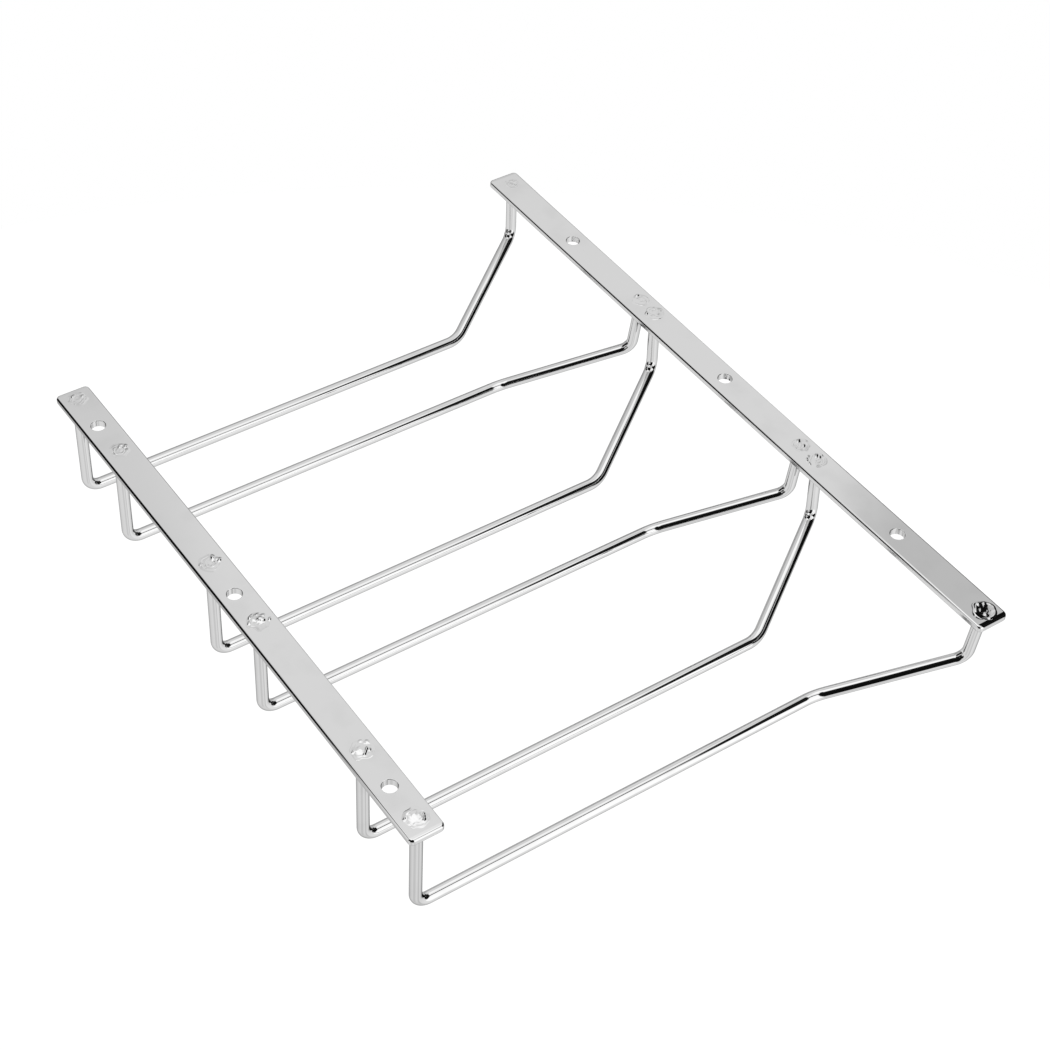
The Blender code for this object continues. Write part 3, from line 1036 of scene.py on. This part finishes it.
class RACK_OT_wires(bpy.types.Operator):
    """Make the six bent wires."""

    bl_idname = "rack.wires"
    bl_label = "Bent Wires"

    def execute(self, context):
        sizes = context.scene.rack_sizes
        radii = (sizes.rear_bend_radius, sizes.flare_bend_radius, sizes.mouth_bend_radius)
        for name, channel, side in wire_names():
            corners = wire_corners(sizes, channel, side, name)
            corners[0, 2] -= WIRE_END_RECESS
            leg = corners[-2] - corners[-1]
            corners[-1] += leg * WIRE_END_RECESS / abs(leg[2])
            centers, tangents = rounded_path(corners, radii)
            rows = closed_ends(centers, tangents, sizes.wire_diameter / 2, WIRE_END_ROUNDING)
            points, uv = tube(*rows, sizes.sides)
            for index, depth in enumerate(BEND_WRINKLES, start=1):
                before = unit(corners[index - 1] - corners[index])
                after = unit(corners[index + 1] - corners[index])
                seed = WRINKLE_SEED_STEP * WELD_MARKS["front_bar"][name][3] + index
                bulge = MOUTH_BULGE[side] if index == len(BEND_WRINKLES) else 0.0
                bend = (points, rows[0], corners[index], before, after)
                points = bend_wrinkles(*bend, depth * MM, bulge * MM, seed)
            finish = bpy.data.materials["wire_chrome_plate"]
            add_piece(f"{name}_bent", [(points, uv, None)], finish, "wire_chrome", [name])
        return {"FINISHED"}


class RACK_OT_welds(bpy.types.Operator):
    """Make the weld marks on the bars' tops and the beads under them."""

    bl_idname = "rack.welds"
    bl_label = "Welds"

    def execute(self, context):
        sizes = context.scene.rack_sizes
        finish = bpy.data.materials["weld_chrome_plate"]
        for bar, end, next_to_end in (("front_bar", -1, -2), ("rear_bar", 0, 1)):
            thickness = bar_box(bar)[1][2]
            marks, beads = [], []
            for name, channel, side in wire_names():
                corners = wire_corners(sizes, channel, side, name)
                top = corners[end]
                leg = unit(corners[next_to_end] - top)
                across, height, ripple, seed, lumps = WELD_MARKS[bar][name]
                lean = LEANING_MARKS.get((bar, name), 0.0)
                marks.append(weld_mark(top, across * MM, height * MM, ripple * MM, seed, lumps, lean))
                under = top + leg * thickness / abs(leg[2])
                beads.append(weld_bead(under, leg, sizes.wire_diameter / 2, seed + BEAD_SEED_STEP))
            add_piece(f"{bar}_weld_marks", marks, finish, "bar_chrome")
            add_piece(f"{bar}_weld_beads", beads, finish, "bar_chrome")
        return {"FINISHED"}


# Studio


def soft_step(tree, inside, softness, x, y):
    """Add nodes that turn a distance inside an edge into a mask from 0 to 1, smooth over the softness."""
    share = math_node(tree, "DIVIDE", x, y, inside, softness)
    return smooth_range(tree, share, (-0.5, 0.5), (0.0, 1.0), x + 150, y)


def strip_mask(tree, value, width, softness, x, y):
    """Add nodes for a mask that is 1 where the value is less than half the width from 0."""
    away = math_node(tree, "ABSOLUTE", x, y, value)
    half = math_node(tree, "MULTIPLY", x, y - 150, width, 0.5)
    return soft_step(tree, math_node(tree, "SUBTRACT", x + 150, y, half, away), softness, x + 300, y)


def band_zone_group():
    """Mask of a part of the tent between two azimuths and two elevations, in degrees."""
    inputs = {"Place": None, "Azimuth": 0.0, "Elevation": 0.0, "Width": 60.0, "Height": 30.0}
    inputs.update({"Side softness": 8.0, "Top softness": 8.0})
    group, given, out = new_group("band_zone", inputs, "Mask")
    x, y, z = add_node(group, "ShaderNodeSeparateXYZ", -750, 0, {0: given["Place"]}).outputs
    azimuth = in_degrees(group, "ARCTAN2", -450, 200, x, math_node(group, "MULTIPLY", -600, 200, y, -1.0))
    turn = math_node(group, "SUBTRACT", -150, 200, azimuth, given["Azimuth"])
    turn = math_node(group, "WRAP", 0, 200, turn, 180.0, -180.0)
    sides = strip_mask(group, turn, given["Width"], given["Side softness"], 150, 200)
    elevation = in_degrees(group, "ARCSINE", -450, -200, z)
    rise = math_node(group, "SUBTRACT", -150, -200, elevation, given["Elevation"])
    top = strip_mask(group, rise, given["Height"], given["Top softness"], 150, -200)
    feed(group, out, {"Mask": math_node(group, "MULTIPLY", 780, 0, sides, top)})
    out.location = (950, 0)
    return group


def round_zone_group():
    """Mask of a round part of the tent, from its centre as a unit vector and its radius in degrees."""
    inputs = {"Place": None, "Centre": None, "Radius": 30.0, "Softness": 4.0}
    group, given, out = new_group("round_zone", inputs, "Mask")
    both = {0: given["Place"], 1: given["Centre"]}
    dot = add_node(group, "ShaderNodeVectorMath", -600, 0, both, operation="DOT_PRODUCT")
    angle = in_degrees(group, "ARCCOSINE", -400, 0, dot.outputs["Value"])
    inside = math_node(group, "SUBTRACT", -50, 0, given["Radius"], angle)
    feed(group, out, {"Mask": soft_step(group, inside, given["Softness"], 200, 0)})
    return group


def slot_zone_group():
    """Mask of a straight slot in the tent's upper half, from its plane's normal and width in degrees."""
    inputs = {"Place": None, "Normal": None, "Width": 4.0, "Softness": 2.0}
    group, given, out = new_group("slot_zone", inputs, "Mask")
    both = {0: given["Place"], 1: given["Normal"]}
    dot = add_node(group, "ShaderNodeVectorMath", -700, 0, both, operation="DOT_PRODUCT")
    angle = in_degrees(group, "ARCSINE", -550, 0, dot.outputs["Value"])
    mask = strip_mask(group, angle, given["Width"], given["Softness"], -200, 0)
    height = add_node(group, "ShaderNodeSeparateXYZ", -550, -350, {0: given["Place"]}).outputs[2]
    above = math_node(group, "GREATER_THAN", 300, -350, height, 0.0)
    feed(group, out, {"Mask": math_node(group, "MULTIPLY", 500, 0, mask, above)})
    return group


def zone_inputs(kind, sizes):
    """Inputs of a zone's node group, from its row in TENT_ZONES."""
    sizes = [float(size) for size in sizes]
    if kind == "slot":
        tilt, width, softness = sizes
        normal = (math.cos(math.radians(tilt)), 0.0, math.sin(math.radians(tilt)))
        return {"Normal": normal, "Width": width, "Softness": softness}
    if kind == "round":
        azimuth, elevation, radius, softness = sizes
        turn, rise = math.radians(azimuth), math.radians(elevation)
        centre = (math.sin(turn) * math.cos(rise), -math.cos(turn) * math.cos(rise), math.sin(rise))
        return {"Centre": centre, "Radius": radius, "Softness": softness}
    return dict(zip(("Azimuth", "Elevation", "Width", "Height", "Side softness", "Top softness"), sizes))


def tent_material(step=350):
    """Light of the tent: brighter overhead, with the zones of TENT_ZONES laid over it, a step apart."""
    material, tree = new_material("tent_light")
    material.cycles.emission_sampling = "NONE"
    groups = {"band": band_zone_group(), "round": round_zone_group(), "slot": slot_zone_group()}
    place = add_node(tree, "ShaderNodeTexCoord", -1400, 0).outputs["Object"]
    place = add_node(tree, "ShaderNodeVectorMath", -1200, 0, {0: place}, operation="NORMALIZE").outputs[0]
    height = add_node(tree, "ShaderNodeSeparateXYZ", -1000, 300, {0: place}).outputs[2]
    light = (TENT_WALL_LIGHT, TENT_TOP_LIGHT)
    brightness = smooth_range(tree, height, (TENT_ROOF_START, 1.0), light, -800, 300)
    x = -600
    for name, kind, sizes, strength in TENT_ZONES:
        zone = place_group(tree, groups[kind], x, -200, {"Place": place, **zone_inputs(kind, sizes)})
        zone.label = name
        laid = {0: zone.outputs["Mask"], 2: brightness, 3: strength}
        brightness = add_node(tree, "ShaderNodeMix", x + step / 2, 200, laid, data_type="FLOAT").outputs[0]
        x += step
    glow = add_node(tree, "ShaderNodeEmission", x, 0, {"Strength": brightness})
    add_node(tree, "ShaderNodeOutputMaterial", x + 200, 0, {0: glow.outputs[0]})
    return material


def studio_world():
    """Even light on everything, and pure white to the camera."""
    remove_old(bpy.data.worlds, "white_studio")
    world = bpy.data.worlds.new("white_studio")
    world.use_nodes = True
    tree = world.node_tree
    tree.nodes.clear()
    white = (1.0, 1.0, 1.0, 1.0)
    rays = add_node(tree, "ShaderNodeLightPath", -400, 300)
    light = add_node(tree, "ShaderNodeBackground", -200, 100, {"Color": white, "Strength": WORLD_LIGHT})
    seen = add_node(tree, "ShaderNodeBackground", -200, -100, {"Color": white})
    both = {0: rays.outputs["Is Camera Ray"], 1: light.outputs[0], 2: seen.outputs[0]}
    shown = add_node(tree, "ShaderNodeMixShader", 0, 0, both)
    add_node(tree, "ShaderNodeOutputWorld", 200, 0, {0: shown.outputs[0]})
    return world


def floor_material(studio):
    """Pale floor. Camera and glossy rays see it brought up to white, and it keeps the rack's shadow."""
    material, tree = new_material("pale_floor")
    rays = add_node(tree, "ShaderNodeLightPath", -500, 0).outputs
    seen = math_node(tree, "ADD", -300, 0, rays["Is Camera Ray"], rays["Is Glossy Ray"], clamp=True)
    seen = math_node(tree, "ADD", -150, 0, seen, rays["Is Transmission Ray"], clamp=True)
    strength = math_node(tree, "MULTIPLY", -150, -150, seen, studio.floor_glow)
    paint = add_node(tree, "ShaderNodeBsdfDiffuse", 50, 100, {"Color": studio.floor_color})
    glow = add_node(tree, "ShaderNodeEmission", 50, -100, {"Strength": strength})
    both = add_node(tree, "ShaderNodeAddShader", 250, 0, {0: paint.outputs[0], 1: glow.outputs[0]})
    add_node(tree, "ShaderNodeOutputMaterial", 450, 0, {0: both.outputs[0]})
    return material


def add_camera(scene, studio):
    """Camera on a sphere round its aim: aim + distance * (sin(a) * cos(e), -cos(a) * cos(e), sin(e))."""
    remove_old(bpy.data.objects, "camera")
    data = bpy.data.cameras.new("camera")
    data.lens = studio.camera_lens
    data.sensor_width = SENSOR_WIDTH
    data.clip_start, data.clip_end = CAMERA_CLIP
    camera = bpy.data.objects.new("camera", data)
    scene.collection.objects.link(camera)
    azimuth, elevation = studio.camera_azimuth, studio.camera_elevation
    flat = math.cos(elevation)
    back = Vector((math.sin(azimuth) * flat, -math.cos(azimuth) * flat, math.sin(elevation)))
    camera.location = Vector(studio.camera_aim) + back * studio.camera_distance
    camera.rotation_mode = "QUATERNION"
    roll = Quaternion((0.0, 0.0, 1.0), studio.camera_roll)
    camera.rotation_quaternion = (-back).to_track_quat("-Z", "Y") @ roll
    scene.camera = camera


class RACK_OT_stage(bpy.types.Operator):
    """Make the floor, the surroundings and the camera."""

    bl_idname = "rack.stage"
    bl_label = "Studio and Camera"

    def execute(self, context):
        scene = context.scene
        studio = scene.rack_studio
        disc = floor_disc(studio.floor_drop, studio.floor_radius)
        floor = add_piece("floor", [disc], floor_material(studio))
        tent = add_piece("light_tent", [tent_dome(studio.tent_radius)], tent_material())
        tent.visible_camera = False
        tent.visible_diffuse = False
        tent.visible_shadow = False
        scene.world = studio_world()
        scene.view_settings.view_transform = "Standard"
        add_camera(scene, studio)
        return {"FINISHED"}


class RACK_PT_panel(bpy.types.Panel):
    """Sizes, finish and studio of the rack, with a button for each step."""

    bl_idname = "RACK_PT_panel"
    bl_label = "Wine Glass Rack"
    bl_space_type = "VIEW_3D"
    bl_region_type = "UI"
    bl_category = "Glass Rack"

    def draw(self, context):
        layout = self.layout
        for step in STEPS:
            layout.operator(step.bl_idname)
        for group in (context.scene.rack_sizes, context.scene.rack_finish, context.scene.rack_studio):
            box = layout.box()
            for name in group.bl_rna.properties.keys():
                if name not in ("rna_type", "name"):
                    box.prop(group, name)


STEPS = (RACK_OT_finishes, RACK_OT_bars, RACK_OT_wires, RACK_OT_welds, RACK_OT_stage)
CLASSES = (RackSizes, RackFinish, RackStudio, *STEPS, RACK_PT_panel)


def register():
    for item in CLASSES:
        bpy.utils.register_class(item)
    bpy.types.Scene.rack_sizes = PointerProperty(type=RackSizes)
    bpy.types.Scene.rack_finish = PointerProperty(type=RackFinish)
    bpy.types.Scene.rack_studio = PointerProperty(type=RackStudio)


def unregister():
    del bpy.types.Scene.rack_studio
    del bpy.types.Scene.rack_finish
    del bpy.types.Scene.rack_sizes
    for item in reversed(CLASSES):
        bpy.utils.unregister_class(item)


def main():
    register()
    bpy.ops.rack.finishes()
    bpy.ops.rack.bars()
    bpy.ops.rack.wires()
    bpy.ops.rack.welds()
    bpy.ops.rack.stage()


if __name__ == "__main__":
    main()
